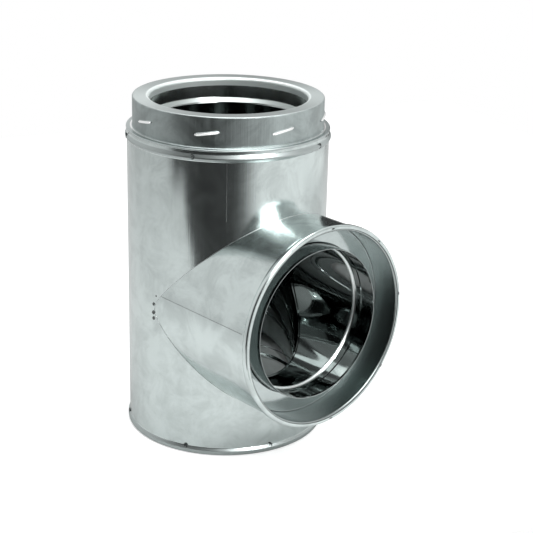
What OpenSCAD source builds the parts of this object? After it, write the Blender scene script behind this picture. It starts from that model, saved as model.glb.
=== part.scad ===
// Double-wall stove pipe tee: an insulated body with one branch at right angles.
// The body stands on its female end at z = 0, its axis is Z and the branch leaves along +X.
// Every sheet is drawn as the path of its middle line and thickened to its gauge.

/* [Flue] */
// Bore of the flue rings, the nominal pipe size
flue_bore = 152.4; // [120:0.1:200]
// Gauge of the flue liners and flue rings
liner_t = 0.6; // [0.4:0.1:1]
// How far the male flue ring is widened, in radius, to take the next pipe's spigot
sleeve_step = 3.8; // [3:0.1:6]
// Depth of the male flue ring, from the rim to the top of its shoulder
sleeve_depth = 21.5; // [18:0.5:30]
// Height of the bead rolled inwards in each female flue ring
stop_bead_h = 2.4; // [1:0.1:4]
// How far a spigot stands out of the ledge around it
spigot_proud = 19.7; // [10:0.1:24]
// How far a spigot is widened, in radius, where it stands free
spigot_swell = 0.4; // [0.2:0.1:0.5]

/* [Casing] */
// Thickness of the insulated wall, from the flue's bore to the casing's face
wall_t = 25.4; // [20:0.1:50]
// Gauge of the casing sheets
casing_t = 0.6; // [0.4:0.1:1]
// Height of the tee, from the bottom rim to the top rim
body_h = 349; // [320:1:500]
// Length of each rolled bead along the casing
bead_w = 7.5; // [6:0.1:10]
// How far each rolled bead stands out of the casing
bead_out = 1.8; // [1:0.1:2.5]
// Straight casing between the top bead and the collar's foot fold
bead_drop = 2.4; // [1:0.1:4]
// Width of the flat lap inside each casing's long seam
lap_w = 12; // [6:1:20]

/* [Branch] */
// Height of the branch's axis above the bottom rim
branch_h = 147; // [135:1:160]
// How far the branch's mouth stands out of the casing's face
branch_out = 50.8; // [42:0.1:140]
// How much smaller than the body each branch tube is, in radius
branch_inset = 0.5; // [0.5:0.1:2]
// Width of sheet left around the hole under each branch tube's edge
hole_lip = 1; // [0.6:0.1:3]

/* [Couplers] */
// Gauge of the coupler sheets
coupler_t = 0.6; // [0.4:0.1:1]
// How far the male collar's face lies inside the casing's face
collar_inset = 5.6; // [4:0.1:8]
// Height of the male collar above its foot fold
collar_h = 30.3; // [29:0.1:40]
// Depth of a female socket, from the mouth to the ledge
socket_depth = 31; // [28:0.1:40]
// Gap around a male collar in a female socket
socket_gap = 1.5; // [0.8:0.1:2.5]
// Depth of the lip that the top rim turns down into the flue
rim_lip = 8.6; // [6:0.1:14]
// Radius of the roll between the top rim and its lip
rim_roll = 3; // [1:0.1:4]
// Length of each coupler's skirt inside the casing or around the liner
skirt_h = 8; // [5:0.5:15]

/* [Twist-lock ridges] */
// Number of ridges around the male collar
ridge_count = 8; // [4:1:12]
// Length of a ridge around the collar
ridge_l = 24; // [14:1:30]
// Thickness of a ridge along the pipe
ridge_w = 3.4; // [2:0.1:5]
// How far a ridge's lower edge stands out of the collar
ridge_h = 1.6; // [0.6:0.1:1.8]
// Rise of a ridge from one end to the other, in degrees
ridge_tilt = 9; // [0:1:15]
// Height of the ridges' middles above the collar's foot
ridge_at = 14.5; // [10:0.5:18]
// Direction of the first ridge around the body's axis
ridge_start = -7; // [-45:1:45]

/* [Seams] */
// Direction of the body's long seam around its axis
body_seam_at = -40; // [-60:1:-30]
// Direction of the branch's long seam, from straight up towards the rear
branch_seam_at = -81; // [-120:1:-60]
// Width of the line that a sheet's edge leaves along a seam
seam_line_w = 0.5; // [0.3:0.1:1]

/* [Hidden] */
$fn = 120;

// Gap kept between the insulation and the sheets around it
fill_gap = 0.1;
// How far a seam stops short of the socket and the beads
seam_end_gap = 2;
// Segments in each bend of a sheet
bend_steps = 5;
// Bend radii on the sheets' middle lines
tight_bend = 0.65;
small_bend = 1.2;
wide_bend = 2;
// Length of a spigot's lead-in and of its step back before the ledge
lead_in = 3;
step_back = 1.6;
// Straight length between a spigot's step and the ledge, and between the ledge and the stop bead
clear_of_ledge = 0.8;
bead_past_ledge = 5.4;
// Length of the stop bead's flanks and of its crest
bead_flank = 2;
bead_crest = 1;

ring_bore = flue_bore / 2;
casing_r = ring_bore + wall_t;
casing_mid = casing_r - casing_t / 2;
casing_bore = casing_r - casing_t;
branch_reach = casing_r + branch_out;
ring_mid = ring_bore + liner_t / 2;
ring_r = ring_bore + liner_t;
liner_r = ring_r + liner_t;

collar_r = casing_r - collar_inset;
collar_mid = collar_r - coupler_t / 2;
socket_mid = collar_r + socket_gap + coupler_t / 2;
skirt_mid = casing_bore - coupler_t / 2;
foot_z = body_h - collar_h;
fold_out = casing_r + 3 * casing_t / 4;
fold_gap = 2 * tight_bend + fill_gap / 2;
casing_top = foot_z - fold_gap - coupler_t;
rim_lip_mid = ring_bore + sleeve_step - coupler_t / 2;
sleeve_mid = ring_bore + sleeve_step + liner_t / 2;
shoulder_z = body_h - sleeve_depth;
cone_foot = shoulder_z - sleeve_step - liner_t;
liner_top = cone_foot - wide_bend;
ledge_hole_mid = liner_r + coupler_t / 2;
hem_in = casing_r - 2;
bead_slope = 0.37 * bead_w;
top_bead_end = casing_top - bead_drop;
top_bead_start = top_bead_end - bead_w;

function unit(v) = v / norm(v);
function turned(v) = [-v[1], v[0]];
function xy(p) = [p[0], p[1]];

// Points of the arc that rounds the corner b, between the neighbours a and c
function corner(a, b, c, bend) =
    let (u = unit(a - b), w = unit(c - b), half = acos(u * w) / 2,
         centre = b + unit(u + w) * bend / sin(half),
         p = b + u * bend / tan(half) - centre,
         q = b + w * bend / tan(half) - centre,
         start = atan2(p[1], p[0]),
         raw = atan2(q[1], q[0]) - start,
         sweep = raw > 180 ? raw - 360 : raw < -180 ? raw + 360 : raw)
    [for (i = [0:bend_steps])
        centre + bend * [cos(start + sweep * i / bend_steps), sin(start + sweep * i / bend_steps)]];

// The middle line through points [radius, height, bend radius]
function middle_line(path) =
    let (last = len(path) - 1)
    concat([xy(path[0])],
           [for (i = [1:last - 1])
               for (p = corner(xy(path[i - 1]), xy(path[i]), xy(path[i + 1]), path[i][2])) p],
           [xy(path[last])]);

// The line moved sideways by d, with mitred corners
function beside(line, d) =
    let (last = len(line) - 1,
         normals = [for (i = [0:last - 1]) turned(unit(line[i + 1] - line[i]))])
    [for (i = [0:last])
        let (a = normals[max(i - 1, 0)], b = normals[min(i, last - 1)], n = unit(a + b))
        line[i] + n * d / (n * b)];

// Half section of a sheet of gauge t that follows a path
module sheet(path, t) {
    line = middle_line(path);
    near = beside(line, t / 2);
    far = beside(line, -t / 2);
    polygon(concat(near, [for (i = [len(far) - 1:-1:0]) far[i]]));
}

// Puts a shape drawn with its mouth at z = 0 and its depth along +Z on the branch
module on_branch() {
    translate([branch_reach, 0, branch_h]) rotate([0, -90, 0]) children();
}

// Cylinder along the branch's axis, from the body's axis past the mouth
module branch_bar(r) {
    translate([0, 0, branch_h]) rotate([0, 90, 0]) cylinder(r = r, h = branch_reach + 10);
}

// Cylinder along the body's axis, past both ends
module body_bar(r) {
    translate([0, 0, -10]) cylinder(r = r, h = body_h + 20);
}

// Rolled liner of outer radius r and length h
module tube(r, h) {
    difference() {
        cylinder(r = r, h = h);
        translate([0, 0, -1]) cylinder(r = r - liner_t, h = h + 2);
    }
}

// Path of a casing's female end: the edge curled in at the mouth, then the bead
function casing_mouth(inset) = [
    [hem_in - inset, casing_t / 2],
    [casing_mid + bead_out - inset, casing_t / 2, wide_bend],
    [casing_mid + bead_out - inset, bead_w - bead_slope, small_bend],
    [casing_mid - inset, bead_w, small_bend]];

// Flat strip under a long seam, pressed against the inside of the casing
module lap(inset, z0, z1, at) {
    r = casing_mid - inset;
    rotate(at) intersection() {
        translate([0, 0, z0]) difference() {
            cylinder(r = r, h = z1 - z0);
            translate([0, 0, -1]) cylinder(r = r - casing_t * 1.5, h = z1 - z0 + 2);
        }
        translate([0, -lap_w / 2, z0]) cube([casing_r, lap_w, z1 - z0]);
    }
}

// Shallow line that the outer sheet's edge leaves along a seam
module seam_line(inset, z0, z1, at) {
    rotate(at) translate([casing_mid - inset, -seam_line_w / 2, z0]) cube([casing_t, seam_line_w, z1 - z0]);
}

module outer_casing() {
    seam_z0 = bead_w + seam_end_gap;
    seam_z1 = top_bead_start - skirt_h - seam_end_gap;
    color("silver") difference() {
        union() {
            rotate_extrude() sheet(concat(casing_mouth(0), [
                [casing_mid, top_bead_start, small_bend],
                [casing_mid + bead_out, top_bead_start + bead_w / 3, small_bend],
                [casing_mid + bead_out, top_bead_start + bead_w / 2, small_bend],
                [casing_mid, top_bead_end, small_bend],
                [casing_mid, casing_top]]), casing_t);
            lap(0, socket_depth + seam_end_gap, seam_z1, body_seam_at);
        }
        seam_line(0, seam_z0, seam_z1, body_seam_at);
        branch_bar(casing_bore - branch_inset - hole_lip);
    }
}

module branch_casing() {
    color("silver") difference() {
        on_branch() difference() {
            union() {
                rotate_extrude() sheet(concat(casing_mouth(branch_inset), [
                    [casing_mid - branch_inset, branch_reach]]), casing_t);
                lap(branch_inset, socket_depth + seam_end_gap, branch_reach, branch_seam_at);
            }
            seam_line(branch_inset, bead_w + seam_end_gap, branch_reach, branch_seam_at);
        }
        body_bar(casing_r);
    }
}

// Arc of a pressed ridge, l long and w wide: its face slopes down and out to a turned-in edge
module ridge_arc(l, w, h) {
    turn = l / collar_r * 180 / PI;
    edge = w / 5;
    rotate(-turn / 2) rotate_extrude(angle = turn) polygon([
        [collar_mid, -w / 2], [collar_mid + h - edge / 2, -w / 2], [collar_mid + h, edge - w / 2],
        [collar_mid, w / 2]]);
}

// One ridge, tilted about its own middle, lower and narrower at its two ends
module ridge() {
    translate([collar_mid, 0, 0]) rotate([ridge_tilt, 0, 0]) translate([-collar_mid, 0, 0]) {
        ridge_arc(ridge_l - ridge_w, ridge_w, coupler_t / 2 + ridge_h);
        ridge_arc(ridge_l, ridge_w * 0.7, coupler_t / 2 + ridge_h * 0.7);
    }
}

module top_coupler() {
    color("darkgray") {
        rotate_extrude() sheet([
            [rim_lip_mid, body_h - rim_lip],
            [rim_lip_mid, body_h - coupler_t / 2, rim_roll],
            [collar_mid, body_h - coupler_t / 2, small_bend],
            [collar_mid, foot_z - coupler_t / 2, small_bend],
            [fold_out, foot_z - coupler_t / 2, tight_bend],
            [fold_out, foot_z - coupler_t / 2 - fold_gap, tight_bend],
            [skirt_mid, foot_z - coupler_t / 2 - fold_gap, tight_bend],
            [skirt_mid, top_bead_start - skirt_h]], coupler_t);
        for (i = [0:ridge_count - 1])
            rotate(ridge_start + i * 360 / ridge_count) translate([0, 0, foot_z + ridge_at]) ridge();
    }
}

// Female coupler: flange in the casing's curled edge, socket wall, ledge and liner skirt
module socket(inset) {
    rotate_extrude() sheet([
        [casing_bore - inset, casing_t + coupler_t / 2],
        [socket_mid - inset, casing_t + coupler_t / 2, small_bend],
        [socket_mid - inset, socket_depth + coupler_t / 2, small_bend],
        [ledge_hole_mid - inset, socket_depth + coupler_t / 2, small_bend],
        [ledge_hole_mid - inset, socket_depth + skirt_h]], coupler_t);
}

module bottom_coupler() {
    color("darkgray") socket(0);
}

module branch_coupler() {
    color("darkgray") on_branch() socket(branch_inset);
}

module top_flue_ring() {
    color("gainsboro") rotate_extrude() sheet([
        [sleeve_mid, body_h - coupler_t / 2 - rim_roll],
        [sleeve_mid, shoulder_z, wide_bend],
        [ring_mid, cone_foot, wide_bend],
        [ring_mid, liner_top - skirt_h]], liner_t);
}

// Female flue ring: the spigot, its lead-in and step, and the stop bead past the ledge
module spigot(inset) {
    tip = socket_depth - spigot_proud;
    step = socket_depth - clear_of_ledge - step_back;
    bead = socket_depth + bead_past_ledge;
    bead_end = bead + 2 * bead_flank + bead_crest;
    rotate_extrude() sheet([
        [ring_mid - inset, tip],
        [ring_mid + spigot_swell - inset, tip + lead_in, wide_bend],
        [ring_mid + spigot_swell - inset, step, small_bend],
        [ring_mid - inset, step + step_back, small_bend],
        [ring_mid - inset, bead, small_bend],
        [ring_mid - stop_bead_h - inset, bead + bead_flank, tight_bend],
        [ring_mid - stop_bead_h - inset, bead + bead_flank + bead_crest, tight_bend],
        [ring_mid - inset, bead_end, small_bend],
        [ring_mid - inset, bead_end + skirt_h]], liner_t);
}

module bottom_flue_ring() {
    color("gainsboro") spigot(0);
}

module branch_flue_ring() {
    color("gainsboro") on_branch() spigot(branch_inset);
}

module flue_liner() {
    color("lightgray") difference() {
        translate([0, 0, socket_depth]) tube(liner_r, liner_top - socket_depth);
        branch_bar(ring_r - branch_inset - hole_lip);
    }
}

module branch_liner() {
    color("lightgray") difference() {
        on_branch() translate([0, 0, socket_depth]) tube(liner_r - branch_inset, branch_reach - socket_depth);
        body_bar(liner_r);
    }
}

module body_insulation() {
    inner = liner_r + fill_gap;
    outer = casing_bore - casing_t - 3 * fill_gap;
    ledge = socket_depth + coupler_t + fill_gap;
    color("wheat") difference() {
        rotate_extrude() polygon([
            [inner + coupler_t + small_bend, ledge], [outer, ledge],
            [outer, foot_z - coupler_t - 2 * fill_gap], [collar_mid - coupler_t, foot_z - coupler_t - 2 * fill_gap],
            [collar_mid - coupler_t, body_h - wide_bend - coupler_t],
            [sleeve_mid + liner_t, body_h - wide_bend - coupler_t],
            [sleeve_mid + liner_t, liner_top], [inner, liner_top],
            [inner, socket_depth + skirt_h + fill_gap],
            [inner + coupler_t, socket_depth + skirt_h + fill_gap],
            [inner + coupler_t, ledge + small_bend]]);
        branch_bar(liner_r - branch_inset + fill_gap);
    }
}

module branch_insulation() {
    inner = liner_r - branch_inset + fill_gap;
    outer = casing_bore - branch_inset - casing_t - 3 * fill_gap;
    ledge = socket_depth + coupler_t + fill_gap;
    color("wheat") difference() {
        on_branch() rotate_extrude() polygon([
            [inner + coupler_t + small_bend, ledge], [outer, ledge], [outer, branch_reach], [inner, branch_reach],
            [inner, socket_depth + skirt_h + fill_gap],
            [inner + coupler_t, socket_depth + skirt_h + fill_gap],
            [inner + coupler_t, ledge + small_bend]]);
        body_bar(casing_r + fill_gap);
    }
}

outer_casing();
branch_casing();
top_coupler();
bottom_coupler();
branch_coupler();
top_flue_ring();
bottom_flue_ring();
branch_flue_ring();
flue_liner();
branch_liner();
body_insulation();
branch_insulation();
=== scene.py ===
import math

import bpy
from mathutils import Matrix, Vector


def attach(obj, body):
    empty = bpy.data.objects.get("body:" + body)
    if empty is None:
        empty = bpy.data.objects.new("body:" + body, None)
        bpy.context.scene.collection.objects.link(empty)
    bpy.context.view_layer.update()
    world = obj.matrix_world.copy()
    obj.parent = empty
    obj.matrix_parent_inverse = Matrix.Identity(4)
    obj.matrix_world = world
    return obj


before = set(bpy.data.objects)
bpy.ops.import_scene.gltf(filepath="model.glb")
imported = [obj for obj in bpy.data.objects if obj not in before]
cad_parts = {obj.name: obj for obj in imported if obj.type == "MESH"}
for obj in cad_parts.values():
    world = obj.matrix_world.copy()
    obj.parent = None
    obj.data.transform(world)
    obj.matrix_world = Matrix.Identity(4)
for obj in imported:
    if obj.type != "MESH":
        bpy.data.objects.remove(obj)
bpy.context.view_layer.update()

# Camera of the photograph, found from the ellipses of its rims
CAMERA_AT = (1.0453, -0.8744, 0.6622)
CAMERA_YAW, CAMERA_PITCH, CAMERA_ROLL = 48.34, 19.96, 1.27
LENS_MM = 94.08


# Sizes of the part, in metres
CASING_R = 0.1016
BRANCH_R = 0.1011
BRANCH_H = 0.147
BRANCH_REACH = 0.1524
TOP_BEAD_Z, LOW_BEAD_Z = 0.3112, 0.0066


# ---------------------------------------------------------------- camera
def add_camera():
    yaw, pitch, roll = (math.radians(a) for a in (CAMERA_YAW, CAMERA_PITCH, CAMERA_ROLL))
    forward = Vector((-math.sin(yaw) * math.cos(pitch), math.cos(yaw) * math.cos(pitch), -math.sin(pitch)))
    right = forward.cross(Vector((0, 0, 1))).normalized()
    up = right.cross(forward)
    right, up = (math.cos(roll) * right + math.sin(roll) * up, -math.sin(roll) * right + math.cos(roll) * up)
    camera = bpy.data.objects.new("camera", bpy.data.cameras.new("camera"))
    camera.data.lens = LENS_MM
    camera.data.sensor_width = 36
    camera.matrix_world = Matrix((right, up, -forward)).transposed().to_4x4()
    camera.matrix_world.translation = Vector(CAMERA_AT)
    bpy.context.scene.collection.objects.link(camera)
    bpy.context.scene.camera = camera


# ---------------------------------------------------------------- nodes
class Tree:
    """A node tree that is filled by short calls."""

    def __init__(self, owner):
        owner.use_nodes = True
        self.nodes = owner.node_tree.nodes
        self.links = owner.node_tree.links
        self.nodes.clear()

    def add(self, kind, out=0, inputs=None, **settings):
        node = self.nodes.new(kind)
        for key, value in settings.items():
            setattr(node, key, value)
        for key, value in (inputs or {}).items():
            if isinstance(value, bpy.types.NodeSocket):
                self.links.new(value, node.inputs[key])
            else:
                node.inputs[key].default_value = value
        return node.outputs[out]

    def math(self, operation, *values):
        return self.add("ShaderNodeMath", operation=operation, inputs=dict(enumerate(values)))

    def smooth(self, value, low, high):
        return self.add("ShaderNodeMapRange", interpolation_type="SMOOTHSTEP",
                        inputs={"Value": value, "From Min": low, "From Max": high})

    def blend(self, factor, low, high):
        """Number between low and high"""
        return self.add("ShaderNodeMix", data_type="FLOAT", inputs={0: factor, 2: low, 3: high})

    def ramp(self, value, stops):
        node = self.nodes.new("ShaderNodeValToRGB")
        self.links.new(value, node.inputs[0])
        elements = node.color_ramp.elements
        while len(elements) < len(stops):
            elements.new(0.5)
        for element, (place, colour) in zip(elements, stops):
            element.position = place
            element.color = (*colour, 1)
        return node.outputs[0]


# ---------------------------------------------------------------- studio
# The studio that the steel mirrors: azimuth from the camera's and elevation in degrees, soft edges, radiance
CAMERA_AZIMUTH = CAMERA_YAW - 90
STUDIO_BASE = 0.66
STUDIO = [
    # lit white behind the object and above it
    ((-300, 300), (30, 200), (10, 25), 0.95),
    ((95, 300), (-10, 200), (25, 12), 1.0),
    ((-300, -80), (-14, 200), (20, 12), 0.84),
    # unlit room on the camera's side, less dark on its right
    ((-71, 47), (-200, 62), (14, 22), 0.05),
    ((5, 57), (-200, 62), (14, 22), 0.13),
    # white wall on the right
    ((14, 160), (-200, 14), (30, 14), 1.05),
    # glow of the key's wall above, and unlit ground in front of the paper
    ((-4, 36), (24, 58), (14, 12), 0.8),
    ((46, 88), (-200, -24), (12, 10), 0.12),
    # dark corner behind, on the right
    ((142, 190), (-200, 30), (12, 10), 0.04),
]


def add_world():
    world = bpy.data.worlds.new("studio")
    bpy.context.scene.world = world
    t = Tree(world)
    direction = t.add("ShaderNodeTexCoord", 0)
    turned = t.add("ShaderNodeVectorRotate", rotation_type="Z_AXIS",
                   inputs={"Vector": direction, "Angle": -math.radians(CAMERA_AZIMUTH)})
    xyz = t.nodes.new("ShaderNodeSeparateXYZ")
    t.links.new(turned, xyz.inputs[0])
    azimuth = t.math("DEGREES", t.math("ARCTAN2", xyz.outputs[1], xyz.outputs[0]))
    elevation = t.math("DEGREES", t.math("ARCSINE", xyz.outputs[2]))
    light = STUDIO_BASE
    for (az_low, az_high), (el_low, el_high), (az_soft, el_soft), radiance in STUDIO:
        inside = t.math("MULTIPLY", t.smooth(elevation, el_low, el_low + el_soft),
                        t.smooth(elevation, el_high, el_high - el_soft))
        across = t.math("MULTIPLY", t.smooth(azimuth, az_low, az_low + az_soft),
                        t.smooth(azimuth, az_high, az_high - az_soft))
        light = t.blend(t.math("MULTIPLY", inside, across), light, radiance)
    seen = t.add("ShaderNodeLightPath", "Is Camera Ray")
    strength = t.blend(seen, light, 1.0)
    background = t.add("ShaderNodeBackground", inputs={"Color": (1, 1, 1, 1), "Strength": strength})
    out = t.nodes.new("ShaderNodeOutputWorld")
    t.links.new(background, out.inputs["Surface"])


def around(azimuth, elevation, distance):
    """Place that far from the object's middle in that direction"""
    azimuth, elevation = math.radians(azimuth), math.radians(elevation)
    return (distance * math.cos(elevation) * math.cos(azimuth), distance * math.cos(elevation) * math.sin(azimuth),
            0.17 + distance * math.sin(elevation))


def add_softbox(name, at, target, size, watts):
    lamp = bpy.data.lights.new(name, "AREA")
    lamp.shape = "RECTANGLE"
    lamp.size, lamp.size_y = size
    lamp.energy = watts
    obj = bpy.data.objects.new(name, lamp)
    obj.location = at
    obj.rotation_euler = (Vector(target) - Vector(at)).to_track_quat("-Z", "Y").to_euler()
    bpy.context.scene.collection.objects.link(obj)


# Sheet of white paper: the direction of its front edge, and its reach to the front, the back and each side
FLOOR_AZIMUTH = -17
FLOOR_FRONT, FLOOR_BACK, FLOOR_SIDE = 0.33, 1.2, 1.0


def add_floor():
    turn = Matrix.Rotation(math.radians(FLOOR_AZIMUTH), 4, "Z")
    ring = [turn @ Vector(corner) for corner in (
        (FLOOR_FRONT, -FLOOR_SIDE, -0.0005), (FLOOR_FRONT, FLOOR_SIDE, -0.0005),
        (-FLOOR_BACK, FLOOR_SIDE, -0.0005), (-FLOOR_BACK, -FLOOR_SIDE, -0.0005))]
    mesh = bpy.data.meshes.new("floor")
    mesh.from_pydata(ring, [], [range(4)])
    floor = bpy.data.objects.new("floor", mesh)
    bpy.context.scene.collection.objects.link(floor)
    paper = bpy.data.materials.new("floor_paper")
    t = Tree(paper)
    diffuse = t.add("ShaderNodeBsdfDiffuse", inputs={"Color": (0.71, 0.71, 0.71, 1)})
    glow = t.add("ShaderNodeEmission", inputs={"Color": (1, 1, 1, 1), "Strength": 0.53})
    lit = t.add("ShaderNodeAddShader", inputs={0: diffuse, 1: glow})
    seen = t.add("ShaderNodeLightPath", "Is Camera Ray")
    mixed = t.add("ShaderNodeMixShader", inputs={0: seen, 1: diffuse, 2: lit})
    out = t.nodes.new("ShaderNodeOutputMaterial")
    t.links.new(mixed, out.inputs["Surface"])
    mesh.materials.append(paper)


# ---------------------------------------------------------------- materials
def finish_material(t, shader):
    out = t.nodes.new("ShaderNodeOutputMaterial")
    t.links.new(shader, out.inputs["Surface"])


def distance_from_axis(t, place, axis):
    """Distance of the surface from the body's axis, or from the branch's"""
    if axis == "X":
        place = t.add("ShaderNodeMapping", inputs={"Vector": place, "Location": (0, 0, -BRANCH_H)})
    flat = {"X": (0, 1, 1), "Z": (1, 1, 0)}[axis]
    return t.add("ShaderNodeVectorMath", 1, operation="LENGTH", inputs={
        0: t.add("ShaderNodeVectorMath", operation="MULTIPLY", inputs={0: place, 1: flat})})


def steel(name, colour, rough, axis, anisotropy=0.4, grain=0.08, dents=0.0005, lines=0.00006, stain=0.12,
          zones=()):
    """Stainless sheet brushed along axis, with rolled-in streaks, soft dents and handling marks.

    zones: distances from the axis over which it turns to another colour and roughness; several of these colours are
    painted highlight or painted shade."""
    material = bpy.data.materials.new(name)
    t = Tree(material)
    place = t.add("ShaderNodeTexCoord", "Object")
    fine = {"X": (8, 700, 700), "Z": (700, 700, 8)}[axis]
    broad = {"X": (8, 45, 45), "Z": (45, 45, 8)}[axis]
    streaks = t.add("ShaderNodeTexNoise", inputs={
        "Vector": t.add("ShaderNodeMapping", inputs={"Vector": place, "Scale": fine}), "Scale": 1, "Detail": 4})
    bands = t.add("ShaderNodeTexNoise", inputs={
        "Vector": t.add("ShaderNodeMapping", inputs={"Vector": place, "Scale": broad}), "Scale": 1, "Detail": 3})
    marks = t.add("ShaderNodeTexNoise", inputs={
        "Vector": place, "Scale": 30, "Detail": 8, "Roughness": 0.7, "Distortion": 0.6})
    waves = t.add("ShaderNodeTexNoise", inputs={"Vector": place, "Scale": 11, "Detail": 1.5, "Distortion": 0.3})

    wear = t.math("ADD", t.math("MULTIPLY", bands, 0.25), t.math("MULTIPLY", marks, 0.75))
    shade = t.smooth(wear, 0.37, 0.6)
    tint = t.ramp(shade, [(0, tuple(c * (1 - stain) for c in colour)), (1, colour)])
    spread = t.math("MULTIPLY_ADD", t.math("SUBTRACT", streaks, 0.5), grain, rough)
    spread = t.math("MULTIPLY_ADD", t.math("SUBTRACT", marks, 0.5), grain * 1.5, spread)
    if zones:
        radius = distance_from_axis(t, place, axis)
        for start, end, colour_there, rough_there in zones:
            inside = t.smooth(radius, start, end)
            tint = t.add("ShaderNodeMix", 2, data_type="RGBA", inputs={0: inside, 6: tint, 7: (*colour_there, 1)})
            spread = t.blend(inside, spread, rough_there)
    bump = t.add("ShaderNodeBump", inputs={"Strength": 0.5, "Distance": dents, "Height": waves})
    bump = t.add("ShaderNodeBump", inputs={"Strength": 0.5, "Distance": lines, "Height": streaks, "Normal": bump})
    tangent = t.add("ShaderNodeTangent", direction_type="RADIAL", axis=axis)
    finish_material(t, t.add("ShaderNodeBsdfPrincipled", inputs={
        "Base Color": tint, "Metallic": 1.0, "Roughness": spread, "Anisotropic": anisotropy, "Normal": bump,
        "Tangent": tangent}))
    return material


def dull(name, colour, rough=0.5):
    """Burnt or sheared steel of welds and sheet edges, and near-black steel that is painted shade in punched stakes"""
    material = bpy.data.materials.new(name)
    t = Tree(material)
    spots = t.add("ShaderNodeTexNoise", inputs={
        "Vector": t.add("ShaderNodeTexCoord", "Object"), "Scale": 900, "Detail": 4, "Roughness": 0.7})
    tint = t.ramp(spots, [(0.35, tuple(c * 0.5 for c in colour)), (0.65, colour)])
    bump = t.add("ShaderNodeBump", inputs={"Strength": 0.5, "Distance": 0.0002, "Height": spots})
    finish_material(t, t.add("ShaderNodeBsdfPrincipled", inputs={
        "Base Color": tint, "Metallic": 1.0, "Roughness": rough, "Normal": bump}))
    return material


def wool(name, colour):
    material = bpy.data.materials.new(name)
    t = Tree(material)
    place = t.add("ShaderNodeTexCoord", "Object")
    fibres = t.add("ShaderNodeTexNoise", inputs={"Vector": place, "Scale": 260, "Detail": 6, "Roughness": 0.7})
    tint = t.ramp(fibres, [(0.3, tuple(c * 0.7 for c in colour)), (0.7, colour)])
    bump = t.add("ShaderNodeBump", inputs={"Strength": 0.6, "Distance": 0.001, "Height": fibres})
    shader = t.add("ShaderNodeBsdfPrincipled", inputs={"Base Color": tint, "Roughness": 0.95, "Normal": bump})
    finish_material(t, shader)
    return material


def dress(node, material):
    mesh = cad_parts[node].data
    mesh.materials.clear()
    mesh.materials.append(material)


add_camera()
add_world()
add_floor()
add_softbox("overhead", (0.2, -0.12, 1.15), (0, 0, 0.2), (0.8, 0.8), 8)
add_softbox("key", around(-6, 27, 1.5), (0, 0, 0.2), (0.75, 0.7), 10)
add_softbox("bulb", around(-8, 28, 1.5), (0, 0, 0.2), (0.1, 0.1), 3)

body_steel = steel("body_steel", (0.62, 0.688, 0.678), 0.16, "Z", stain=0.2, zones=(
    (0.1017, 0.1021, (0.42, 0.465, 0.46), 0.36),))   # beads, darkened: painted shade for their dark reflection lines
branch_steel = steel("branch_steel", (0.66, 0.735, 0.725), 0.16, "X", stain=0.2)
collar_steel = steel("collar_steel", (0.42, 0.475, 0.47), 0.38, "Z", anisotropy=0.6, grain=0.25, dents=0.0002,
                     lines=0.0003, stain=0.3, zones=(
                         (0.0963, 0.0968, (0.95, 0.96, 0.955), 0.3),   # ridges, painted near-white: painted highlight of the sky they face
                         (0.0979, 0.0986, (0.47, 0.52, 0.515), 0.3),    # foot fold
                         (0.0957, 0.0952, (0.45, 0.49, 0.485), 0.45),   # flat rim
                         (0.0830, 0.0810, (0.75, 0.8, 0.79), 0.5)))    # lip, lightened: painted reflection of the white it faces
# The zone darkens the socket's wall: painted shade.
socket_steel = steel("socket_steel", (0.52, 0.58, 0.575), 0.13, "X", dents=0.0003, lines=0.0, grain=0.04, zones=(
    (0.0960, 0.0966, (0.36, 0.4, 0.395), 0.24),))
# The liners' steel is much darker than the casing's: painted shade inside the tubes.
flue_body = steel("flue_body", (0.34, 0.37, 0.365), 0.045, "Z", anisotropy=0.2, grain=0.04, dents=0.0003, lines=0.00001)
flue_branch = steel("flue_branch", (0.34, 0.37, 0.365), 0.045, "X", anisotropy=0.2, grain=0.04, dents=0.0003,
                    lines=0.00001)
sleeve_steel = steel("sleeve_steel", (0.52, 0.55, 0.54), 0.2, "Z", anisotropy=0.2, grain=0.1, dents=0.0006, zones=(
    (0.0799, 0.0796, (0.4, 0.44, 0.43), 0.4),    # shoulder, darkened: painted shade
    (0.0772, 0.0767, (0.38, 0.41, 0.405), 0.1)))  # below it, darker still: painted shade down the tube
# The spigot's steel is darkened like the liners': painted shade inside the branch.
spigot_steel = steel("spigot_steel", (0.34, 0.37, 0.365), 0.06, "X", anisotropy=0.2, grain=0.04, dents=0.0003,
                     lines=0.00001, zones=((0.0754, 0.0743, (0.75, 0.8, 0.79), 0.3),))    # stop bead, lightened: painted highlight ring
fibre = wool("fibre", (0.8, 0.77, 0.68))
weld_steel = dull("weld_steel", (0.72, 0.77, 0.76), 0.3)
edge_dark = dull("edge_dark", (0.25, 0.27, 0.265), 0.4)
# Near-black steel: painted shade in the punched stakes and the mouth's gap.
painted_shade_steel = dull("painted_shade_steel", (0.1, 0.11, 0.11), 0.6)
edge_steel = dull("edge_steel", (0.44, 0.48, 0.47), 0.3)
tack_steel = dull("tack_steel", (0.17, 0.18, 0.18), 0.5)

dress("outer_casing", body_steel)
dress("branch_casing", branch_steel)
dress("top_coupler", collar_steel)
dress("bottom_coupler", collar_steel)
dress("branch_coupler", socket_steel)
dress("top_flue_ring", sleeve_steel)
dress("bottom_flue_ring", flue_body)
dress("flue_liner", flue_body)
dress("branch_flue_ring", spigot_steel)
dress("branch_liner", flue_branch)
dress("body_insulation", fibre)
dress("branch_insulation", fibre)


# ---------------------------------------------------------------- seams, welds and stakes
def add_piece(name, verts, faces, material, slot="casing_steel"):
    mesh = bpy.data.meshes.new(name)
    mesh.from_pydata([tuple(v) for v in verts], [], faces)
    mesh.polygons.foreach_set("use_smooth", [True] * len(mesh.polygons))
    mesh.materials.append(material)
    piece = bpy.data.objects.new(name, mesh)
    bpy.context.scene.collection.objects.link(piece)
    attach(piece, "root")
    return piece


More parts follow.
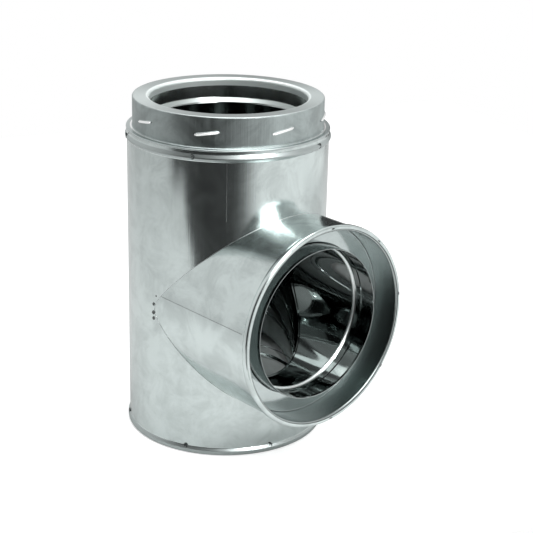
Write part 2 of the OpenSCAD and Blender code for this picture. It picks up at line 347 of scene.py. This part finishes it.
def rope(points, radius, sides=8, closed=False, taper=None):
    """Round bar along the points; taper gives its radius at each point, as a share"""
    verts, faces = [], []
    count = len(points)
    for i, point in enumerate(points):
        before = points[i - 1] if closed or i else point
        after = points[(i + 1) % count] if closed or i < count - 1 else point
        along = (after - before).normalized()
        side = along.orthogonal() if abs(along.z) > 0.95 else along.cross(Vector((0, 0, 1)))
        side.normalize()
        up = along.cross(side)
        here = radius * (taper[i] if taper else 1)
        for k in range(sides):
            turn = 2 * math.pi * k / sides
            verts.append(point + here * (math.cos(turn) * side + math.sin(turn) * up))
    for i in range(count if closed else count - 1):
        for k in range(sides):
            a, b = i * sides + k, i * sides + (k + 1) % sides
            c, d = (b + sides) % len(verts), (a + sides) % len(verts)
            faces.append((a, b, c, d))
    if not closed:
        faces.append(tuple(range(sides)))
        faces.append(tuple(range(len(verts) - 1, len(verts) - 1 - sides, -1)))
    return verts, faces


def join(parts):
    verts, faces = [], []
    for part_verts, part_faces in parts:
        faces += [tuple(i + len(verts) for i in face) for face in part_faces]
        verts += part_verts
    return verts, faces


def on_body(azimuth, z, out=0.0):
    """Point on the body's casing"""
    a = math.radians(azimuth)
    return Vector(((CASING_R + out) * math.cos(a), (CASING_R + out) * math.sin(a), z))


def on_branch(angle, x, out=0.0):
    """Point on the branch's casing, its angle from straight up towards the front"""
    a = math.radians(angle)
    return Vector((x, -(BRANCH_R + out) * math.sin(a), BRANCH_H + (BRANCH_R + out) * math.cos(a)))


def saddle_point(angle):
    """Point where the branch's casing meets the body's"""
    point = on_branch(angle, 0)
    point.x = math.sqrt(CASING_R ** 2 - point.y ** 2)
    return point


def dimple(centre, out, up, size):
    """Punched mark: a C-shaped burr around a small raised dot; the dark steel it is drawn in paints the shade of the
    punched dish
    """
    side = out.cross(up).normalized()
    burr = [centre + size * (math.cos(a) * side + math.sin(a) * up) + 0.1 * size * out
            for a in (math.radians(50 + 26 * i) for i in range(11))]
    taper = [0.4, 0.8] + [1] * 7 + [0.8, 0.4]
    dot = [centre + 0.35 * size * side * (i - 1) for i in range(3)]
    return join([rope(burr, size * 0.3, 6, taper=taper), rope(dot, size * 0.28, 6, taper=[0.5, 1, 0.5])])


weld = [saddle_point(a) for a in range(0, 360, 3)]
add_piece("saddle_weld", *rope(weld, 0.0003, 6, closed=True), weld_steel)

bead_r = 0.0022
marks = []
for azimuth in (-118, -59, 20, 80, 140, 200):
    out = (on_body(azimuth, 0) - on_body(azimuth, 0, -1)).normalized()
    marks.append(dimple(on_body(azimuth, TOP_BEAD_Z, 0.0012), out, Vector((0, 0, 1)), bead_r))
for azimuth in (-63, -13, 37, 87, 137, 187, 237):
    out = (on_body(azimuth, 0) - on_body(azimuth, 0, -1)).normalized()
    marks.append(dimple(on_body(azimuth, LOW_BEAD_Z, 0.0006), out, Vector((0, 0, 1)), bead_r))
for angle in (-2, -42, -83, -128, -174):
    dash = [on_branch(angle + 0.7 * k, BRANCH_REACH - 0.0004, -0.0007) for k in (-2, -1, 0, 1, 2)]
    marks.append(rope(dash, 0.0009, 8, taper=[0.3, 0.85, 1, 0.85, 0.3]))
# The stakes' dark steel is painted shade of their punched hollows.
add_piece("bead_stakes", *join(marks), painted_shade_steel)

tacks = []
for azimuth, z, size in ((-85, 0.152, 0.0019), (-85.2, 0.143, 0.0023), (-85, 0.137, 0.0021), (-83, 0.1615, 0.0011),
                         (86, 0.152, 0.0019), (86, 0.142, 0.0023)):
    centre = on_body(azimuth, z, -0.0002)
    out = on_body(azimuth, z, 1) - centre
    out.z = 0
    side = out.normalized().cross(Vector((0, 0, 1)))
    tacks.append(rope([centre + size * k * Vector((0, 0, 1)) for k in (-1, -0.5, 0, 0.5, 1)], size * 0.8, 8,
                      taper=[0.2, 0.8, 1, 0.8, 0.2]))
add_piece("saddle_tacks", *join(tacks), tack_steel)

# Dark ring in the crevice between the hem and the socket: painted shade.
gap_r, gap_x = 0.099, BRANCH_REACH - 0.0002
gap = [Vector((gap_x, gap_r * math.cos(math.radians(a)), BRANCH_H + gap_r * math.sin(math.radians(a))))
       for a in range(0, 360, 3)]
add_piece("mouth_gap_shade", *rope([p - Vector((0.0004, 0, 0)) for p in gap], 0.0004, 6, closed=True), painted_shade_steel)

seam = [on_branch(81, BRANCH_REACH - 0.0105 - i * (BRANCH_REACH - 0.0105 - saddle_point(81).x) / 30, -0.0001)
        for i in range(31)]
add_piece("branch_seam", *rope(seam, 0.00028, 6), edge_dark)
seam = [on_body(-40.3, 0.249 + i * 0.0019, -0.00019) for i in range(31)]
add_piece("body_seam", *rope(seam, 0.00024, 6), edge_steel)

bpy.context.scene.view_settings.view_transform = "Standard"
